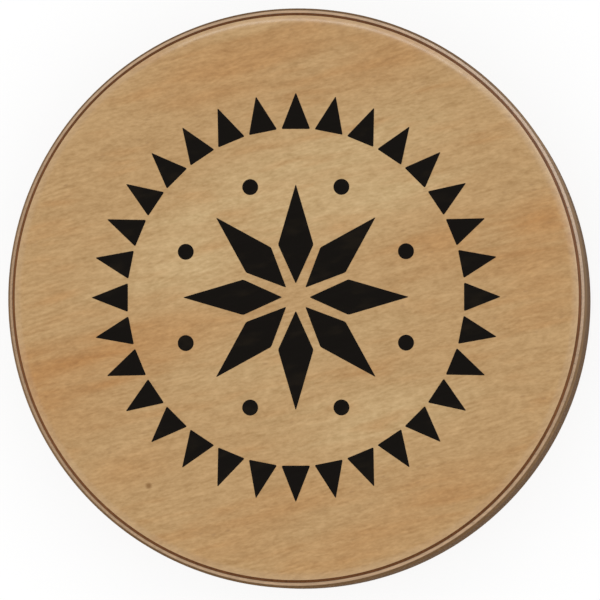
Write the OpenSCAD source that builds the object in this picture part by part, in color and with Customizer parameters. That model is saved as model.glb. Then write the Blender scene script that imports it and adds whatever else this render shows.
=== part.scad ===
// Flat round wooden shaker: a laminated ring closed by a three-ply plate on each side,
// with loose steel shot sealed in the chamber between them. The disc lies on its rear
// plate, with its axis along Z and the front plate up. Sizes are in millimetres.

/* [Body] */
// Outside diameter of the disc
body_d = 95; // [80:1:120]
// Radius that rounds over the front and rear edges
edge_round = 4; // [2:0.25:6]

/* [Plates] */
// Thickness of the show veneer on the outside of each plate
face_veneer_t = 1.0; // [0.6:0.1:2]
// Thickness of the dark cross veneer in the middle of each plate
core_veneer_t = 0.5; // [0.4:0.1:1.6]
// Thickness of the veneer that closes the chamber
inner_veneer_t = 0.7; // [0.5:0.1:2]

/* [Ring] */
// Number of plies in the ring
ring_plies = 13; // [7:2:17]
// Thickness of one ring ply
ring_ply_t = 1.5; // [1:0.1:2]
// Width of the ring between the chamber and the outside
ring_wall = 8; // [5:0.5:12]

/* [Shot] */
// Diameter of one steel ball
shot_d = 5; // [3:0.5:6]
// Number of steel balls in the chamber
shot_count = 36; // [12:1:36]
// Room left between a ball and the walls of the chamber
shot_gap = 0.3; // [0.1:0.1:0.5]

/* [Hidden] */
$fn = 96;

// Heights through the lamination, from the rear face up
plate_t = face_veneer_t + core_veneer_t + inner_veneer_t;
ring_z = plate_t;
chamber_h = ring_plies * ring_ply_t;
front_z = ring_z + chamber_h;
body_h = front_z + plate_t;

// Radii from the axis out
body_r = body_d / 2;
chamber_r = body_r - ring_wall;

// The shot spreads over the floor of the chamber in a sunflower spiral
golden_angle = 180 * (3 - sqrt(5));
shot_field_r = chamber_r - shot_gap - shot_d / 2;
shot_z = ring_z + shot_gap + shot_d / 2;

show_wood = [0.73, 0.59, 0.42];
core_wood = [0.42, 0.28, 0.17];
inner_wood = [0.74, 0.63, 0.51];
long_grain_wood = [0.55, 0.44, 0.31];
end_grain_wood = [0.39, 0.29, 0.20];
shot_steel = [0.72, 0.73, 0.75];

function two_digits(i) = i < 10 ? str("0", i) : str(i);
function ply_name(i) = str("ring_ply_", two_digits(i));
function shot_name(i) = str("steel_shot_", two_digits(i));
function shot_radius(i) = shot_field_r * sqrt((i - 0.5) / shot_count);

// Half outline of the whole disc, from the axis to the rim, with both edges rounded over
module disc_outline() {
    flat_r = body_r - edge_round;
    square([flat_r, body_h]);
    translate([0, edge_round])
        square([body_r, body_h - 2 * edge_round]);
    for (z = [edge_round, body_h - edge_round])
        translate([flat_r, z])
            circle(edge_round);
}

// One layer of the lamination: the slice of the disc that starts at height z, outside a bore
module layer(z, thickness, bore_r = 0) {
    rotate_extrude()
        intersection() {
            disc_outline();
            translate([bore_r, z])
                square([body_d, thickness]);
        }
}

module rear_face_veneer() {
    color(show_wood)
        layer(0, face_veneer_t);
}

module rear_core_veneer() {
    color(core_wood)
        layer(face_veneer_t, core_veneer_t);
}

module rear_inner_veneer() {
    color(inner_wood)
        layer(ring_z - inner_veneer_t, inner_veneer_t);
}

// The plies are numbered from the rear plate, with the grain crossed from one to the next
module ring_ply(i) {
    color(i % 2 == 1 ? end_grain_wood : long_grain_wood)
        layer(ring_z + (i - 1) * ring_ply_t, ring_ply_t, chamber_r);
}

module front_inner_veneer() {
    color(inner_wood)
        layer(front_z, inner_veneer_t);
}

module front_core_veneer() {
    color(core_wood)
        layer(front_z + inner_veneer_t, core_veneer_t);
}

module front_face_veneer() {
    color(show_wood)
        layer(body_h - face_veneer_t, face_veneer_t);
}

// A loose ball, where it lies on the floor of the chamber
module steel_shot(i) {
    color(shot_steel)
        rotate([0, 0, i * golden_angle])
            translate([shot_radius(i), 0, shot_z])
                sphere(d = shot_d);
}

rear_face_veneer();
rear_core_veneer();
rear_inner_veneer();
for (i = [1:ring_plies])
    ring_ply(i);
front_inner_veneer();
front_core_veneer();
front_face_veneer();
for (i = [1:shot_count])
    steel_shot(i);
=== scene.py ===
# %% [markdown]
# # A flat wooden shaker
# The instrument is a disc that fits one hand: a ring of crossed plies, a plywood plate glued on each
# side, the edges rounded over, and loose steel shot inside. The CAD frame has every layer and every
# ball at its real size and place. This lesson keeps those sizes and gives the disc its turned edges,
# its wood, its printed ornament and its light.

import math

import bmesh
import bpy
from mathutils import Matrix, Vector


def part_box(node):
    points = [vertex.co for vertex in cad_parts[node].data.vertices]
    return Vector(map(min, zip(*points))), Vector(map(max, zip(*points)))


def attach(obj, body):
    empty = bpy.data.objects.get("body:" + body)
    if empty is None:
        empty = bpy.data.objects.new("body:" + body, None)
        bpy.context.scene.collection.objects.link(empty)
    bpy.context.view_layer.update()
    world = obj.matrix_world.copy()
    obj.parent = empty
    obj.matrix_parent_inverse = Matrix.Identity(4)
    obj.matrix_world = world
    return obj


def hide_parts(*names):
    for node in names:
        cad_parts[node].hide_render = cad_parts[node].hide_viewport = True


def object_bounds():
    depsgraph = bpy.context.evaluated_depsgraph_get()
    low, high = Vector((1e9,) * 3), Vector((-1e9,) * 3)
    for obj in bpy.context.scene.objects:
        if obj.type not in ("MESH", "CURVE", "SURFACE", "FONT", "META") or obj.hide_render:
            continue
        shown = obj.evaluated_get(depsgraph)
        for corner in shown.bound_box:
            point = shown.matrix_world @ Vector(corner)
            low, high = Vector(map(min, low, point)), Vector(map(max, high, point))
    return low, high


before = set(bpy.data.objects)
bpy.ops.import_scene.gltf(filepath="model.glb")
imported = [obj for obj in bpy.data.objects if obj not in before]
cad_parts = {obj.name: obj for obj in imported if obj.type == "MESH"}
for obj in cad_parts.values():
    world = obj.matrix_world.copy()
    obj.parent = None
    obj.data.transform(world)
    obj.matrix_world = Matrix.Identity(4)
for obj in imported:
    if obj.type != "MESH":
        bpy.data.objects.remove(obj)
cad_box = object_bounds()
MM = 0.001

# %% [markdown]
# ## Read the sizes from the frame
# A dressed model must not drift away from its CAD model, so no size of the disc is typed in again. The
# box of a node gives heights and the outer radius. Two sizes hide inside meshes: the flat part of the
# face ends where the edge rounding starts, and the innermost points of a ring ply give the radius of
# the chamber.

# %% Sizes of the disc
SHELL = "shell"
MIDDLE_PLY = "ring_ply_07"
HAIR = 0.01 * MM
body_h = cad_box[1].z
body_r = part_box(MIDDLE_PLY)[1].x


def radius_of(point):
    """Distance of a point from the axis of the disc."""
    return math.hypot(point.x, point.y)


face_points = [v.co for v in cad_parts["front_face_veneer"].data.vertices]
flat_r = max(radius_of(p) for p in face_points if p.z > body_h - HAIR)
edge_round = body_r - flat_r
chamber_r = min(radius_of(v.co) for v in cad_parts[MIDDLE_PLY].data.vertices)
print(f"disc {2 * body_r / MM:.1f} x {body_h / MM:.1f} mm, edges rounded {edge_round / MM:.2f} mm,",
      f"chamber {2 * chamber_r / MM:.1f} mm across")

# %% [markdown]
# ## The camera
# The disc is seen almost straight on, so its outline stays round. But a little of the wall shows at the
# right and below, and none at the left: the camera stands a few degrees off the axis. A long lens far
# away keeps the wall from vanishing behind the face, as it would in a close shot.

# %% Camera
CAMERA_DISTANCE = 1.5
CAMERA_LEAN = Vector((0.063, -0.036))
AIM = Vector((0.69 * MM, -0.46 * MM, body_h))
VIEW_WIDTH = 97.95 * MM

back = Vector((CAMERA_LEAN.x, CAMERA_LEAN.y, 1)).normalized()
right = Vector((0, 1, 0)).cross(back).normalized()
up = back.cross(right)
bpy.ops.object.select_all(action="DESELECT")
bpy.ops.object.camera_add(location=AIM + back * CAMERA_DISTANCE)
camera = bpy.context.object
camera.rotation_euler = Matrix((right, up, back)).transposed().to_euler()
camera.data.lens = camera.data.sensor_width * CAMERA_DISTANCE / VIEW_WIDTH
bpy.context.scene.camera = camera
lean = math.degrees(math.atan(CAMERA_LEAN.length))
print(f"camera {lean:.1f} degrees off the axis, lens {camera.data.lens:.0f} mm")

# %% [markdown]
# ## Select by place
# The tools of edit mode work on what is selected. By hand one clicks on a rim; a script has to say
# which rim it means. So one helper selects whatever passes a test, such as lying at a certain height,
# and drops the rest.

# %% Helpers for edit mode
SELECT_MODE = {"verts": "VERT", "edges": "EDGE", "faces": "FACE"}


def pick(piece, kind, test):
    """In edit mode, selects the verts, edges or faces that pass the test, and nothing else."""
    bpy.ops.mesh.select_all(action="DESELECT")
    bpy.ops.mesh.select_mode(type=SELECT_MODE[kind])
    shape = bmesh.from_edit_mesh(piece.data)
    found = [item for item in getattr(shape, kind) if test(item)]
    for item in found:
        item.select_set(True)
    bmesh.update_edit_mesh(piece.data)
    return len(found)


def at_level(item, level):
    """True for an edge or face that lies in the plane at that height."""
    return all(abs(v.co.z - level) < HAIR for v in item.verts)


print("edit helpers pick", list(SELECT_MODE))

# %% [markdown]
# ## Turn the blank
# On the bench the layers are glued into a block, and then the block is turned and its edges are rounded
# over. The same order works here: one cylinder at the full size, with both rims rolled over by the
# bevel tool. A bevel profile of 0.5 is a true quarter circle. Many steps round the rim and over the
# bevel keep the lacquer's highlights smooth.

# %% Blank
RIM_STEPS = 256
ROUND_STEPS = 28
QUARTER_CIRCLE = 0.5

bpy.ops.object.select_all(action="DESELECT")
bpy.ops.mesh.primitive_cylinder_add(vertices=RIM_STEPS, radius=body_r, depth=body_h,
                                    location=(0, 0, body_h / 2))
blank = bpy.context.object
bpy.ops.object.transform_apply(location=True, rotation=True, scale=True)
bpy.ops.object.mode_set(mode="EDIT")
rims = pick(blank, "edges", lambda e: at_level(e, 0) or at_level(e, body_h))
bpy.ops.mesh.bevel(offset=edge_round, segments=ROUND_STEPS, profile=QUARTER_CIRCLE, affect="EDGES",
                   clamp_overlap=False)
bpy.ops.object.mode_set(mode="OBJECT")
print("blank:", rims, "rim edges rounded into", len(blank.data.polygons), "faces")

# %% [markdown]
# ## Cut the blank into its layers
# Each layer is a copy of the blank, cut with two bisects that also close the cuts, so it carries its
# own slice of the rounding. A hair of the cut rims is taken off, because the glue lines of a sanded
# edge are faint grooves and not painted lines.

# %% Cut one layer
GROOVE = 0.05 * MM


def cut_layer(node):
    """A copy of the blank between the node's two levels, with eased rims where it was cut."""
    low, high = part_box(node)[0].z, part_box(node)[1].z
    bpy.ops.object.select_all(action="DESELECT")
    blank.select_set(True)
    bpy.context.view_layer.objects.active = blank
    bpy.ops.object.duplicate()
    piece = bpy.context.object
    piece.name = piece.data.name = node + "_turned"
    cuts = [level for level in (low, high) if HAIR < level < body_h - HAIR]
    bpy.ops.object.mode_set(mode="EDIT")
    for level in cuts:
        bpy.ops.mesh.select_all(action="SELECT")
        bpy.ops.mesh.bisect(plane_co=(0, 0, level), plane_no=(0, 0, 1), use_fill=True,
                            clear_inner=level == low, clear_outer=level == high)
    for level in cuts:
        pick(piece, "edges", lambda e: at_level(e, level))
        bpy.ops.mesh.bevel(offset=GROOVE, segments=1, affect="EDGES", clamp_overlap=False)
    return piece


print(f"grooves of {GROOVE / MM:.2f} mm at the glue lines")

# %% [markdown]
# ## Open the ring
# The plies of the ring have a hole for the chamber. A boolean could drill it, but the cut faces are
# flat discs, so plain tools are cleaner: each face is inset to the radius of the chamber, the inner
# discs are deleted, and a bridge makes the wall of the bore.

# %% Open a ring ply
FLAT = 0.999
BORE_ROOM = 1 * MM


def is_flat(face):
    """True for a face that looks straight up or down."""
    return abs(face.normal.z) > FLAT


def open_ring(piece):
    """Turns a layer in edit mode into a ring: both faces inset to the chamber, and bridged."""
    shape = bmesh.from_edit_mesh(piece.data)
    levels = [f.calc_center_median().z for f in shape.faces if is_flat(f)]
    for level in levels:
        pick(piece, "faces", lambda f: is_flat(f) and at_level(f, level))
        shape = bmesh.from_edit_mesh(piece.data)
        rim = max(radius_of(v.co) for v in shape.verts if abs(v.co.z - level) < HAIR)
        bpy.ops.mesh.inset(thickness=rim - chamber_r)
        bpy.ops.mesh.delete(type="ONLY_FACE")
    pick(piece, "edges", lambda e: all(radius_of(v.co) < chamber_r + BORE_ROOM for v in e.verts))
    bpy.ops.mesh.bridge_edge_loops()


print(f"rings open to {chamber_r / MM:.1f} mm from the axis")

# %% All the layers
SMOOTH_UNDER = math.radians(20)


def finish_layer(piece, node):
    """Outward normals, smooth rounds with crisp grooves, and its place on the shell."""
    bpy.ops.mesh.select_all(action="SELECT")
    bpy.ops.mesh.normals_make_consistent(inside=False)
    bpy.ops.object.mode_set(mode="OBJECT")
    bpy.ops.object.shade_smooth_by_angle(angle=SMOOTH_UNDER)
    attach(piece, SHELL)
    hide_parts(node)
    return piece


plate_nodes = [f"{side}_{layer}_veneer" for side in ("rear", "front")
               for layer in ("face", "core", "inner")]
ring_nodes = sorted(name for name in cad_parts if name.startswith("ring_ply"))
layers = {}
for node in plate_nodes + ring_nodes:
    piece = cut_layer(node)
    if node in ring_nodes:
        open_ring(piece)
    layers[node] = finish_layer(piece, node)
bpy.data.objects.remove(blank)
print("cut", len(layers), "layers; a ring ply has", len(layers[MIDDLE_PLY].data.polygons), "faces")

# %% [markdown]
# ## The printed ornament
# The face carries a screen print in black ink. Here it is a plain folk ornament: an eight-pointed star,
# a dot off each gap between its points, and a closed band of teeth. A print could be painted into the
# wood's shader, but ink has a body and a clean edge, so each motif is a small solid that stands a hair
# proud. One motif is modelled from a flat circle primitive, its corners are rounded as a screen rounds
# them, and spin sets copies of it round the axis.

# %% Helpers for the print
INK_SUNK = 0.01 * MM
INK_PROUD = 0.025 * MM
INK_CORNER = 0.25 * MM
CORNER_STEPS = 4
AXIS = (0, 0, 0)


def flat_motif(name, corners, radius):
    """A filled polygon lying in the face, in edit mode, with one corner on +Y."""
    bpy.ops.object.select_all(action="DESELECT")
    bpy.ops.mesh.primitive_circle_add(vertices=corners, radius=radius, fill_type="NGON",
                                      location=(0, 0, body_h - INK_SUNK))
    bpy.ops.object.transform_apply(location=True, rotation=True, scale=True)
    motif = bpy.context.object
    motif.name = motif.data.name = name
    bpy.ops.object.mode_set(mode="EDIT")
    return motif


def print_round(motif, copies, corner):
    """Rounds the motif's corners, gives the ink its body and repeats it round the axis."""
    bpy.ops.mesh.select_all(action="SELECT")
    if corner:
        bpy.ops.mesh.bevel(offset=corner, segments=CORNER_STEPS, affect="VERTICES")
        bpy.ops.mesh.select_all(action="SELECT")
    bpy.ops.mesh.extrude_region_move(TRANSFORM_OT_translate={"value": (0, 0, INK_SUNK + INK_PROUD)})
    bpy.ops.mesh.select_all(action="SELECT")
    bpy.ops.mesh.spin(steps=copies - 1, dupli=True, angle=math.tau * (copies - 1) / copies,
                      use_auto_merge=False, center=AXIS, axis=(0, 0, 1))
    bpy.ops.mesh.select_all(action="SELECT")
    bpy.ops.mesh.normals_make_consistent(inside=False)
    bpy.ops.object.mode_set(mode="OBJECT")
    bpy.ops.object.shade_smooth_by_angle(angle=SMOOTH_UNDER)
    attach(motif, SHELL)
    print(motif.name, "has", copies, "motifs and", len(motif.data.polygons), "faces")


print(f"ink stands {INK_PROUD / MM:.3f} mm proud")

# %% Star
STAR_POINTS = 8
STAR_INNER = 2.2 * MM
STAR_OUTER = 18.5 * MM
STAR_WAIST = 8.6 * MM
STAR_HALF_WIDTH = 2.9 * MM
star_length = STAR_OUTER - STAR_INNER
star_middle = (STAR_OUTER + STAR_INNER) / 2

star = flat_motif("ink_star", 4, star_length / 2)
bpy.ops.transform.translate(value=(0, star_middle, 0))
pick(star, "verts", lambda v: abs(v.co.x) > HAIR)
bpy.ops.transform.resize(value=(2 * STAR_HALF_WIDTH / star_length, 1, 1), center_override=AXIS)
bpy.ops.transform.translate(value=(0, STAR_WAIST - star_middle, 0))
print_round(star, STAR_POINTS, INK_CORNER)

# %% Dots
DOT_CORNERS = 40
DOT_RADIUS = 1.3 * MM
DOT_CIRCLE = 19.5 * MM

dots = flat_motif("ink_dots", DOT_CORNERS, DOT_RADIUS)
bpy.ops.transform.translate(value=(0, DOT_CIRCLE, 0))
bpy.ops.transform.rotate(value=math.pi / STAR_POINTS, orient_axis="Z", center_override=AXIS)
print_round(dots, STAR_POINTS, 0)

# %% Teeth
TEETH = 32
TOOTH_INNER = 27.5 * MM
TOOTH_OUTER = 33.5 * MM
TOOTH_HALF_WIDTH = 2.35 * MM
TOOTH_START = 1 * MM
start_half_width = math.sin(math.tau / 3) * TOOTH_START

teeth = flat_motif("ink_teeth", 3, TOOTH_START)
pick(teeth, "verts", lambda v: v.co.y > 0)
bpy.ops.transform.translate(value=(0, TOOTH_OUTER - TOOTH_START, 0))
pick(teeth, "verts", lambda v: v.co.y < 0)
bpy.ops.transform.translate(value=(0, TOOTH_INNER + TOOTH_START / 2, 0))
bpy.ops.transform.resize(value=(TOOTH_HALF_WIDTH / start_half_width, 1, 1), center_override=AXIS)
print_round(teeth, TEETH, INK_CORNER)

# %% [markdown]
# ## Shader maths in Python
# Wood takes many small sums of noises. Placing every Math node by hand hides the idea, so one class
# wraps a socket: plus, minus and times on it add the Math node, and one method places any other node,
# with its settings before its sockets.

# %% The class that wires shaders


class Wire:
    """A socket in a node tree. Arithmetic on it adds Math nodes, and add() places any other node."""

    def __init__(self, tree, socket=None):
        self.tree = tree
        self.socket = socket

    def add(self, kind, settings=None, inputs=None, out=0):
        """Places a node, and gives back a wire from that output."""
        node = self.tree.nodes.new("ShaderNode" + kind)
        for name, value in (settings or {}).items():
            setattr(node, name, value)
        for key, value in (inputs or {}).items():
            if isinstance(value, Wire):
                self.tree.links.new(value.socket, node.inputs[key])
            else:
                node.inputs[key].default_value = value
        return Wire(self.tree, node.outputs[out] if node.outputs else None)

    def maths(self, operation, first, second=0):
        return self.add("Math", {"operation": operation}, {0: first, 1: second})

    def __add__(self, other):
        return self.maths("ADD", self, other)

    def __sub__(self, other):
        return self.maths("SUBTRACT", self, other)

    def __rsub__(self, other):
        return self.maths("SUBTRACT", other, self)

    def __mul__(self, other):
        return self.maths("MULTIPLY", self, other)

    __radd__ = __add__
    __rmul__ = __mul__

    def step(self, low, high):
        """0 at low, 1 at high, with a soft slope between. High may lie under low."""
        return self.add("MapRange", {"interpolation_type": "SMOOTHSTEP"},
                        {"Value": self, "From Min": low, "From Max": high})

    def tint(self, first, second):
        """A colour that goes from first to second as this wire goes from 0 to 1."""
        return self.add("Mix", {"data_type": "RGBA"}, {0: self, 6: first, 7: second}, out=2)

    def shade(self, colour, lean=(1, 1, 1)):
        """The colour made lighter or darker by this share, and more so in a channel that leans more."""
        red, green, blue = (1 + self * weight for weight in lean)
        scale = self.add("CombineXYZ", None, {"X": red, "Y": green, "Z": blue})
        return self.add("VectorMath", {"operation": "MULTIPLY"}, {0: colour, 1: scale})


print("shader maths ready:", [op for op in vars(Wire) if op.startswith("__r")])

# %% Helpers for finishes


def new_finish(name):
    """An empty material, and a wire to build it with."""
    finish = bpy.data.materials.new(name)
    finish.use_nodes = True
    finish.node_tree.nodes.clear()
    return finish, Wire(finish.node_tree)


def wear(piece, finish):
    """Gives the piece that finish alone."""
    piece.data.materials.clear()
    piece.data.materials.append(finish)


print("materials before dressing:", len(bpy.data.materials))

# %% [markdown]
# ## Grain
# Every noise of the wood is drawn out along the grain, so each finish first turns the object's own
# coordinates until x runs with the grain, and counts in millimetres. A noise on stretched coordinates
# then gives streaks of any length and width. It is a solid texture: where the rounding cuts across the
# fibres, the streaks shrink to the dots of end grain by themselves. Each noise has its own seed, so
# that no two line up. Real fibres waver, so a slow noise pushes them a little to the side.

# %% Grain and fibres
NOISE_ROUGHNESS = 0.55


def grain_space(wire, angle):
    """Object coordinates in millimetres, turned so that x runs along the grain."""
    place = wire.add("TexCoord", out="Object")
    return wire.add("Mapping", None, {
        "Vector": place, "Rotation": (0, 0, -angle), "Scale": (1 / MM,) * 3})


def drawn_out(space, length, width, shift):
    """The grain space moved by that shift and scaled, so that one unit is that length and width."""
    return space.add("Mapping", None, {
        "Vector": space, "Location": shift, "Scale": (1 / length, 1 / width, 1 / width)})


def fibres(space, length, width, seed, detail=2.0):
    """Noise in streaks of that length and width in millimetres, centred on 0."""
    drawn = drawn_out(space, length, width, (seed, 1.7 * seed, 2.3 * seed))
    noise = space.add("TexNoise", None, {
        "Vector": drawn, "Scale": 1.0, "Detail": detail, "Roughness": NOISE_ROUGHNESS})
    return noise - 0.5


print("noise roughness", NOISE_ROUGHNESS)

# %% Pores and wavering fibres
PORE_EDGE = 0.25
PORE_HEART = 0.08


def flecks(space, length, width, seed):
    """Short pores lying along the grain: 1 in a pore, 0 between."""
    drawn = drawn_out(space, length, width, (seed, 1.3 * seed, 0.7 * seed))
    near = space.add("TexVoronoi", {"feature": "F1"}, {"Vector": drawn, "Scale": 1.0, "Randomness": 1.0})
    return near.step(PORE_EDGE, PORE_HEART)


def axis_of(space, name):
    """One coordinate of a vector wire."""
    return space.add("SeparateXYZ", None, {0: space}, out=name)


def waver(space, length, width, push, seed):
    """The grain space with its fibres pushed to the side, by about that many millimetres."""
    side = fibres(space, length, width, seed, detail=1.0) * (2 * push)
    shift = space.add("CombineXYZ", None, {"Y": side})
    return space.add("VectorMath", {"operation": "ADD"}, {0: space, 1: shift})


print("a pore fades out from", PORE_HEART, "to", PORE_EDGE, "of its cell")

# %% [markdown]
# ## The figure of the show veneer
# The face is rotary-cut veneer: a honey ground, crossed on a slant by a warm streak that is strongest
# at its two ends, with pale wood above it and browner wood towards the top and bottom. Such a figure
# can't be left to a random noise, so it is given as a short list of soft patches drawn out along
# the slant, and a noise frays their borders. The rear, which lies on the table, has a figure of its
# own.

# %% Figure of the front veneer
GRAIN_TILT = math.radians(12)
FIGURE_TILT = math.radians(19)
# A patch: its centre (x, y), half its length along the slant and half its width in mm, its strength.
FRONT_WARM = (
    ((-42, -12.5), 13, 6.5, 0.78),
    ((-25, -7.2), 14, 4.8, 0.55),
    ((-36, -20), 12, 5.0, 0.3),
    ((24, 9.2), 9.5, 3.8, 0.52),
    ((40, 13), 10, 4.0, 0.85),
    ((38.5, 4), 9, 5.0, 0.4),
    ((40, -1.5), 9, 4.0, 0.3),
    ((-8, 38.5), 20, 5.0, 0.55),
    ((16, 39.5), 13, 4.5, 0.45),
    ((12, -39.5), 18, 5.0, 0.5),
    ((-9, -38.5), 14, 5.0, 0.28),
    ((1, -33), 12, 3.0, 0.28),
    ((-29, -28), 10, 3.5, 0.35),
    ((25, -31), 13, 4.0, 0.35),
)
FRONT_PALE = (
    ((-17, 6), 16, 8.5, 0.9),
    ((6, 19.5), 21, 11, 0.9),
    ((13.5, 14.5), 9, 4.5, 0.55),
    ((-4, -11), 22, 6.0, 0.45),
    ((12.5, -20.2), 14.5, 6.5, 0.76),
)
print("front figure:", len(FRONT_WARM), "warm and", len(FRONT_PALE), "pale patches")

# %% Figure of the rear veneer
REAR_WARM = (
    ((-20, 16), 26, 5.0, 0.6),
    ((26, -14), 20, 5.5, 0.5),
    ((-8, -34), 22, 5.0, 0.45),
    ((12, 38), 20, 4.0, 0.4),
)
REAR_PALE = (
    ((4, 2), 28, 8.0, 0.8),
    ((-28, -18), 18, 7.0, 0.6),
    ((24, 24), 20, 7.0, 0.6),
)
print("rear figure:", len(REAR_WARM), "warm and", len(REAR_PALE), "pale patches")

# %% Patches
THROUGH = 1000.0
PATCH_REACH = 1.4


def patches(space, tilt, figure, fray):
    """A mask that is full inside the patches of the figure and fades to 0 outside them."""
    mask = 0
    for place, half_length, half_width, strength in figure:
        centre = Matrix.Rotation(-tilt, 2) @ Vector(place)
        local = space.add("Mapping", {"vector_type": "TEXTURE"}, {
            "Vector": space, "Location": (*centre, 0), "Scale": (half_length, half_width, THROUGH)})
        reach = local.add("VectorMath", {"operation": "LENGTH"}, {0: local}, out="Value")
        mask = (reach + fray).step(PATCH_REACH, 0.0) * strength + mask
    return mask


print("a patch fades out at", PATCH_REACH, "times its half size")

# %% [markdown]
# ## Growth lines and wisps
# Near to, the face has more than its figure. Faint growth lines run along the slant, and here and there
# is a thin dark wisp, where a ring of the tree only just meets the knife. A sine across the figure
# makes the growth lines. A wisp is the line along which a slow noise passes through 0, as a contour on
# a map. A second noise lets both come and go.

# %% Growth lines and wisps
# The size of a noise is its length along the grain and its width across it, in mm.
LINE_AREA = (9, 5)
GROWTH_GAP = 0.8
GROWTH_WAVER = (8, 3, 0.8)
GROWTH_FADE = (-0.03, 0.2)
WISP = (11, 2.6)
WISP_EDGE = 0.03
WISP_FADE = (-0.02, 0.15)


def growth_lines(space, seed):
    """Fine waves from -1 to 1 across the figure, present in some places only."""
    waved = waver(space, *GROWTH_WAVER, seed + 60)
    waves = space.maths("SINE", axis_of(waved, "Y") * (math.tau / GROWTH_GAP))
    return waves * fibres(space, *LINE_AREA, seed + 64).step(*GROWTH_FADE)


def wisp_lines(space, seed):
    """Thin lines where a slow noise passes through 0: 1 on a line, and gone in some places."""
    slow = fibres(space, *WISP, seed + 50, detail=1.0)
    lines = space.maths("ABSOLUTE", slow).step(WISP_EDGE, 0.0)
    return lines * fibres(space, *LINE_AREA, seed + 55).step(*WISP_FADE)


print("growth lines every", GROWTH_GAP, "mm")

# %% [markdown]
# ## The colour of the show veneer
# The figure gives the ground colour. Long streaks, short dashes and fine fibres then make it lighter or
# darker, and pores go on top. One dark brown could be mixed in for all of them, but dark wood is also
# warmer wood, so a darker tone here takes more from blue than from red.

# %% Ground colour
HONEY = (0.485, 0.291, 0.117, 1)
WARM = (0.453, 0.209, 0.054, 1)
PALE = (0.558, 0.376, 0.172, 1)
FRAY = (24, 9)
BLUSH = (15, 3)
BLUSH_FADE = (0.0, 0.3)
BLUSH_SHARE = 0.42


def ground_colour(space, figure_space, tilt, seed, warm, pale, broad):
    """Honey wood with pale and warm patches, whose borders fray, and a warm blush here and there."""
    fray = broad * 1.6 + fibres(space, *FRAY, seed + 3) * 1.2
    colour = patches(figure_space, tilt, pale, fray).tint(HONEY, PALE)
    colour = patches(figure_space, tilt, warm, fray).tint(colour, WARM)
    blush = fibres(space, *BLUSH, seed + 26).step(*BLUSH_FADE)
    return (blush * BLUSH_SHARE).tint(colour, WARM)


print("ground: honey", HONEY[:3], "warm", WARM[:3], "pale", PALE[:3])

# %% Streaks and pores
BROAD = (30, 2.4)
MIDDLE = (7, 1.0)
FINE = (0.9, 0.37)
DASH = (2.1, 0.85)
BROAD_TONE = 0.2
MIDDLE_TONE = 0.22
FINE_TONE = 0.5
DASH_TONE = 0.58
GROWTH_TONE = 0.065
WISP_TONE = 0.075
DARK_IS_WARM = (0.8, 1.0, 1.45)
PORE = (2.4, 1.0)
PORE_AREA = (14, 6)
PORE_FADE = (-0.05, 0.2)
PORE_BROWN = (0.270, 0.140, 0.055, 1)
PORE_SHARE = 0.32
print("streaks, length by width in mm:", BROAD, MIDDLE, FINE, DASH)

# %% [markdown]
# ## The finish of the show veneer
# A satin lacquer lies over the wood: a coat on the Principled shader. The streaks drive a slight bump,
# because lacquer sinks a little into the fibres. On the rounding the lacquer is buffed to a higher
# gloss, and the veneer's colour is painted a shade paler there, a painted sheen; the depth under the
# flat of the face tells where that is. One tiny pin knot sits at the lower left, placed by its distance
# like a dab of a brush.

# %% Lacquer, rounding and knot
FIBRE_WAVER = (14, 8, 0.6)
RELIEF = 0.02 * MM
WOOD_GLOSS = 0.3
LACQUER = 0.36
LACQUER_ROUGHNESS = 0.26
BUFFED_DEPTH = (-0.2, -0.5)
BUFFED_LACQUER = 0.86
# The paler colour down the rounding is a painted sheen, not a change in the wood.
PAINTED_SHEEN_DEPTH = (-0.15, -1.0)
PAINTED_SHEEN_WOOD = (0.530, 0.345, 0.175, 1)
PAINTED_SHEEN_SHARE = 0.2
PIN_KNOT = Vector((-24.07, -30.76))
PIN_KNOT_SIZE = 0.76
KNOT_BROWN = (0.200, 0.080, 0.004, 1)
KNOT_SHARE = 0.76
print("lacquer", LACQUER, "on the face and", BUFFED_LACQUER, "on the rounding")

# %% Show veneer


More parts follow.
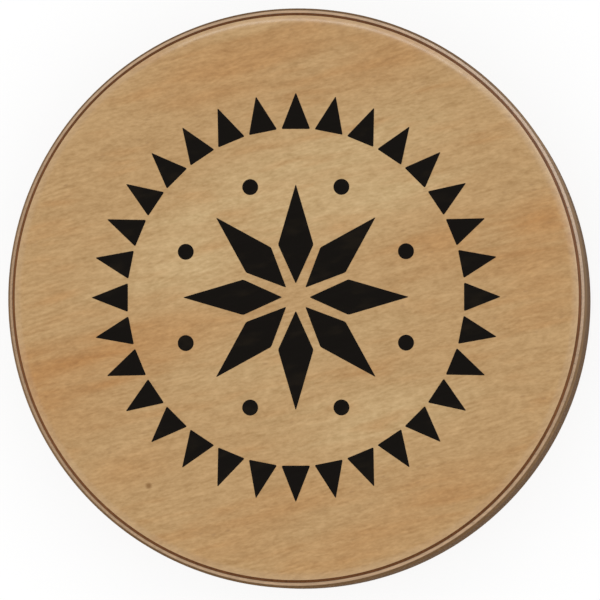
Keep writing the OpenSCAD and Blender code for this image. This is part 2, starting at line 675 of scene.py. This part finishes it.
def show_veneer(name, turn, seed, outside, warm, pale, knot):
    """The veneer's finish. Outside is the height of its show face, in millimetres."""
    finish, wire = new_finish(name)
    space = waver(grain_space(wire, GRAIN_TILT + turn), *FIBRE_WAVER, seed + 40)
    figure_space = grain_space(wire, FIGURE_TILT + turn)
    broad = fibres(space, *BROAD, seed + 5)
    middle = fibres(space, *MIDDLE, seed + 9)
    fine = fibres(space, *FINE, seed + 14)
    dashes = fibres(space, *DASH, seed + 17)
    colour = ground_colour(space, figure_space, FIGURE_TILT + turn, seed, warm, pale, broad)
    tone = broad * BROAD_TONE + middle * MIDDLE_TONE + fine * FINE_TONE + dashes * DASH_TONE
    tone = tone + growth_lines(figure_space, seed) * GROWTH_TONE - wisp_lines(space, seed) * WISP_TONE
    colour = tone.shade(colour, DARK_IS_WARM)
    pores = flecks(space, *PORE, seed + 20) * fibres(space, *PORE_AREA, seed + 33).step(*PORE_FADE)
    colour = (pores * PORE_SHARE).tint(colour, PORE_BROWN)

    # Depth is 0 on the flat of the face, and under 0 down its rounding, on either side of the disc.
    depth = (axis_of(space, "Z") - outside) * (1 if outside else -1)
    # Painted sheen: the colour turns paler down the rounding.
    colour = (depth.step(*PAINTED_SHEEN_DEPTH) * PAINTED_SHEEN_SHARE).tint(colour, PAINTED_SHEEN_WOOD)
    lacquer = LACQUER + depth.step(*BUFFED_DEPTH) * (BUFFED_LACQUER - LACQUER)
    if knot:
        from_knot = wire.add("VectorMath", {"operation": "DISTANCE"}, {
            0: grain_space(wire, 0), 1: (knot.x, knot.y, outside)}, out="Value")
        dab = from_knot.step(PIN_KNOT_SIZE, 0.2 * PIN_KNOT_SIZE)
        colour = (dab * KNOT_SHARE).tint(colour, KNOT_BROWN)

    relief = wire.add("Bump", None, {"Strength": 0.25, "Distance": RELIEF, "Height": middle + fine})
    shader = wire.add("BsdfPrincipled", None, {
        "Base Color": colour, "Roughness": 0.6 + broad * 0.15 + pores * 0.08, "Normal": relief,
        "Specular IOR Level": WOOD_GLOSS, "Coat Weight": lacquer, "Coat Roughness": LACQUER_ROUGHNESS})
    wire.add("OutputMaterial", None, {"Surface": shader})
    return finish


print("pin knot", 2 * PIN_KNOT_SIZE, "mm across")

# %% Front and rear
FRONT_SEED = 4.0
REAR_SEED = 31.0
REAR_TURN = -1.5 * GRAIN_TILT

front = show_veneer("show_veneer_front", 0, FRONT_SEED, body_h / MM, FRONT_WARM, FRONT_PALE, PIN_KNOT)
rear = show_veneer("show_veneer_rear", REAR_TURN, REAR_SEED, 0, REAR_WARM, REAR_PALE, None)
for node, finish in (("front_face_veneer", front), ("rear_face_veneer", rear)):
    wear(layers[node], finish)
print("show veneer:", len(front.node_tree.nodes), "nodes, grain",
      round(math.degrees(GRAIN_TILT)), "degrees up to the right")

# %% [markdown]
# ## The edge of the lamination
# Seen from the side, plywood is a stack of stripes. A ply whose fibres run along the rim is paler and
# streaky, and where they point out of the rim it is darker, with pores in place of streaks. Because the
# grain of each ply crosses the next one's, the stripes trade places every quarter turn. One function
# makes every layer: the angle between rim and fibres sets how much end grain shows, and the two glue
# lines are found by height.

# %% Glue lines
GLUE_REACH = 0.1
GLUE_CORE = 0.015
GLUE_WANDER = (3, 1.5)
GLUE_WANDER_HEIGHT = 0.06


def glue_lines(space, node, seed):
    """1 where glue has soaked into the node's layer, at its lower and its upper joint, and 0 between."""
    height = axis_of(space, "Z") + fibres(space, *GLUE_WANDER, seed + 17) * GLUE_WANDER_HEIGHT
    low, high = (corner.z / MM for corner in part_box(node))
    lower = height.step(low + GLUE_REACH, low + GLUE_CORE)
    upper = height.step(high - GLUE_REACH, high - GLUE_CORE)
    return lower + upper


print("glue soaks", GLUE_REACH, "mm into a layer")

# %% Edge of a layer
EDGE_WAVER = (8, 3, 0.12)
END_BORDER = (9, 3)
END_FADE = (0.2, 0.8)
EDGE_BROAD = (26, 1.2)
EDGE_STREAK = (11, 0.45)
EDGE_FINE = (5, 0.2)
EDGE_PORE = (3.0, 0.5)
LONG_PORES = 0.15
END_PORES = 0.45
EDGE_RELIEF = 0.03 * MM
GLUE_BROWN = (0.060, 0.030, 0.013, 1)
GLUE_SHARE = 0.45


def layer_edge(name, node, tilt, seed, long_grain, end_grain, gloss):
    """The finish of the node's layer. Its fibres have that tilt, and a colour along and across them."""
    finish, wire = new_finish(name)
    space = waver(grain_space(wire, tilt), *EDGE_WAVER, seed + 23)
    flat = wire.add("VectorMath", {"operation": "MULTIPLY"}, {0: space, 1: (1, 1, 0)})
    outward = wire.add("VectorMath", {"operation": "NORMALIZE"}, {0: flat})
    along = axis_of(outward, "X")
    border = fibres(space, *END_BORDER, seed, detail=1.0) * 0.4
    end = (along * along + border).step(*END_FADE)
    broad = fibres(space, *EDGE_BROAD, seed + 2)
    streaks = fibres(space, *EDGE_STREAK, seed + 4)
    fine = fibres(space, *EDGE_FINE, seed + 6)
    pores = flecks(space, *EDGE_PORE, seed + 11)
    pore_tone = pores * (LONG_PORES + end * (END_PORES - LONG_PORES))
    tone = broad * 0.4 + streaks * 0.75 + fine * 0.6 - pore_tone
    colour = tone.shade(end.tint((*long_grain, 1), (*end_grain, 1)))
    colour = (glue_lines(space, node, seed) * GLUE_SHARE).tint(colour, GLUE_BROWN)
    relief = wire.add("Bump", None, {
        "Strength": 0.3, "Distance": EDGE_RELIEF, "Height": fine - pores * 0.5})
    shader = wire.add("BsdfPrincipled", None, {
        "Base Color": colour, "Roughness": 0.66 + end * 0.1 + broad * 0.1, "Normal": relief,
        "Specular IOR Level": gloss})
    wire.add("OutputMaterial", None, {"Surface": shader})
    return finish


print("pores darken long grain by", LONG_PORES, "and end grain by", END_PORES)

# %% [markdown]
# ## The edges of the plates
# On the rounding each plate shows a dark cross veneer and a pale inner one under it. The dark one is
# only oiled and looks matt. Some of the plate's lacquer runs over the pale one, so it has a gloss and
# catches light.

# %% Edges of the plates
CROSSED = math.pi / 2
OILED_GLOSS = 0.03
LACQUERED_GLOSS = 0.45
CORE_WOOD = (0.170, 0.068, 0.026), (0.130, 0.050, 0.018)
INNER_WOOD = (0.488, 0.314, 0.178), (0.404, 0.254, 0.140)
PLATE_LAYERS = (
    ("core", "dark_core", CROSSED, CORE_WOOD, OILED_GLOSS),
    ("inner", "inner_veneer", 0, INNER_WOOD, LACQUERED_GLOSS),
)

for side, seed in (("rear", 5), ("front", 42)):
    for layer, slot, turn, wood, gloss in PLATE_LAYERS:
        node = f"{side}_{layer}_veneer"
        wear(layers[node], layer_edge(f"{node}_edge", node, GRAIN_TILT + turn, seed, *wood, gloss))
print("plate edges:", len(PLATE_LAYERS), "layers on each side")

# %% [markdown]
# ## The edges of the ring
# The ring is multiplex, sanded and oiled but not lacquered. Its plies are peeled from different logs,
# so each sheet has a tone of its own, and the two outermost sheets are of a better, paler grade. The
# browns of the inner sheets are darkened past the wood's own colour, as painted shade on the wall.

# %% Edges of the ring
# Brown wood, darkened further as painted shade on the ring's wall.
RING_WOOD_AND_SHADE = (0.178, 0.096, 0.040), (0.086, 0.043, 0.017)
RING_FACE_WOOD = (0.220, 0.128, 0.059), (0.165, 0.090, 0.039)
SHEET_SHADE = 0.13
SHEET_STEP = 2.4
SHEET_SEED = 13

for number, node in enumerate(ring_nodes, 1):
    along_y = number % 2 == 1
    sheet = 1 + SHEET_SHADE * math.sin(SHEET_STEP * number)
    wood = RING_FACE_WOOD if number in (1, len(ring_nodes)) else RING_WOOD_AND_SHADE
    wood = [tuple(sheet * channel for channel in colour) for colour in wood]
    finish = layer_edge(f"{node}_edge", node, CROSSED * along_y, SHEET_SEED * number, *wood, OILED_GLOSS)
    wear(layers[node], finish)
print("ring edges:", len(ring_nodes), "plies,", len(bpy.data.materials), "finishes so far")

# %% [markdown]
# ## Ink and steel
# The ink is near black and matt, but not flat: it lies on fibres, so their streaks show in its sheen
# and just a little in its colour. The balls are bearing steel, polished, with the faint frosting of
# metal that knocks on metal. They keep their CAD meshes, which are round enough, and only change their
# finish.

# %% Ink
THICK_INK = (0.0034, 0.0020, 0.0008, 1)
THIN_INK = (0.0078, 0.0050, 0.0022, 1)
INK_GLOSS = 0.07
INK_RELIEF = 0.015 * MM
WEAVE = (8, 0.5)
THIN_PLACE = (5, 2)

ink, wire = new_finish("black_ink")
space = grain_space(wire, GRAIN_TILT)
weave = fibres(space, *WEAVE, 3.0)
thin = fibres(space, *THIN_PLACE, 8.0).step(0.0, 0.25)
relief = wire.add("Bump", None, {"Strength": 0.3, "Distance": INK_RELIEF, "Height": weave})
shader = wire.add("BsdfPrincipled", None, {
    "Base Color": thin.tint(THICK_INK, THIN_INK), "Roughness": 0.55 + weave * 0.4, "Normal": relief,
    "Specular IOR Level": INK_GLOSS})
wire.add("OutputMaterial", None, {"Surface": shader})
ornament = (star, dots, teeth)
for motif in ornament:
    wear(motif, ink)
print("ink on", [motif.name for motif in ornament])

# %% Steel
DULL_STEEL = (0.56, 0.56, 0.57, 1)
BRIGHT_STEEL = (0.66, 0.66, 0.67, 1)
FROST_PER_MM = 0.9

steel, wire = new_finish("shot_steel")
place = wire.add("TexCoord", out="Object")
frost = wire.add("TexNoise", None, {"Vector": place, "Scale": FROST_PER_MM / MM, "Detail": 3.0})
shader = wire.add("BsdfPrincipled", None, {
    "Base Color": frost.tint(DULL_STEEL, BRIGHT_STEEL), "Metallic": 1.0,
    "Roughness": 0.1 + frost * 0.16})
wire.add("OutputMaterial", None, {"Surface": shader})
shot = [node for name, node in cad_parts.items() if name.startswith("steel_shot")]
for ball in shot:
    ball.data.materials[0] = steel
print("steel on", len(shot), "balls")

# %% [markdown]
# ## Floor and sky
# A pale floor under a bright even sky makes a plain studio. To the camera the floor mixes its lit
# surface with white light of its own, which keeps the ground white and leaves the shadow in it. The sky
# is white to the camera and a little dimmer as a light, so that the colours come out as they are
# written.

# %% Floor
FLOOR_SIZE = 6.0
FLOOR_WHITE = (0.88, 0.88, 0.88, 1)
FLOOR_GLOW = 1.08
GLOW_SHARE = 0.76
WHITE = (1, 1, 1, 1)


def white_to_camera(wire):
    """1 for rays that look straight, by a mirror or through glass, and 0 for rays that carry light."""
    look = wire.add("LightPath", out="Is Camera Ray")
    for kind in ("Is Glossy Ray", "Is Transmission Ray"):
        look = wire.maths("MAXIMUM", look, wire.add("LightPath", out=kind))
    return look


bpy.ops.object.select_all(action="DESELECT")
bpy.ops.mesh.primitive_plane_add(size=FLOOR_SIZE, location=(0, 0, -HAIR))
floor = bpy.context.object
floor.name = "floor"
finish, wire = new_finish("floor_white")
lit = wire.add("BsdfDiffuse", None, {"Color": FLOOR_WHITE})
glow = wire.add("Emission", None, {"Color": WHITE, "Strength": FLOOR_GLOW})
mixed = wire.add("MixShader", None, {0: white_to_camera(wire) * GLOW_SHARE, 1: lit, 2: glow})
wire.add("OutputMaterial", None, {"Surface": mixed})
wear(floor, finish)
print("floor", FLOOR_SIZE, "m wide")

# %% Sky
SKY_LIGHT = 0.96

world = bpy.data.worlds.new("studio")
bpy.context.scene.world = world
world.use_nodes = True
world.node_tree.nodes.clear()
wire = Wire(world.node_tree)
sky = wire.add("Background", None, {
    "Color": WHITE, "Strength": white_to_camera(wire) * (1 - SKY_LIGHT) + SKY_LIGHT})
wire.add("OutputWorld", None, {"Surface": sky})
bpy.context.scene.view_settings.view_transform = "Standard"
print("sky at", SKY_LIGHT)

# %% [markdown]
# ## Two panels for the shine
# Lacquer shows its shine as reflections: a soft glint on the rounding at the top, and a pale line along
# the rim at the upper right. Two panels of light make them, a wide one that stands behind the top of
# the disc and a small one that lies on the floor at the upper right. More light would upset the even
# light of the sky, so both are kept out of the diffuse light and show in reflections only. The panel
# on the floor is hidden from the camera as well.

# %% Panels of light
LAMP_PLACE = Vector((0.06, 1.12, 0.63))
LAMP_SIZE = (1.35, 0.2)
LAMP_POWER = 5.6
CARD_TURN = math.radians(31)
CARD_DISTANCE = 0.111
CARD_HEIGHT = 2 * MM
CARD_SIZE = (0.07, 0.13)
CARD_POWER = 0.5


def panel(place, turn, size, power):
    """A rectangle of light that shows in reflections and adds no diffuse light."""
    bpy.ops.object.light_add(type="AREA", location=place)
    light = bpy.context.object
    light.rotation_euler = turn
    light.data.shape = "RECTANGLE"
    light.data.size, light.data.size_y = size
    light.data.energy = power
    light.visible_diffuse = False
    return light


to_lamp = LAMP_PLACE - Vector((0, 0, body_h))
panel(LAMP_PLACE, to_lamp.to_track_quat("Z", "Y").to_euler(), LAMP_SIZE, LAMP_POWER)
card_place = Matrix.Rotation(CARD_TURN, 3, "Z") @ Vector((CARD_DISTANCE, 0, CARD_HEIGHT))
card = panel(card_place, (math.pi, 0, CARD_TURN), CARD_SIZE, CARD_POWER)
card.visible_camera = False
print("panels of", LAMP_POWER, "and", CARD_POWER, "W")

# %% [markdown] ## Size The layers are turned to the CAD model's box, and only the ink
# stands a hair above it.
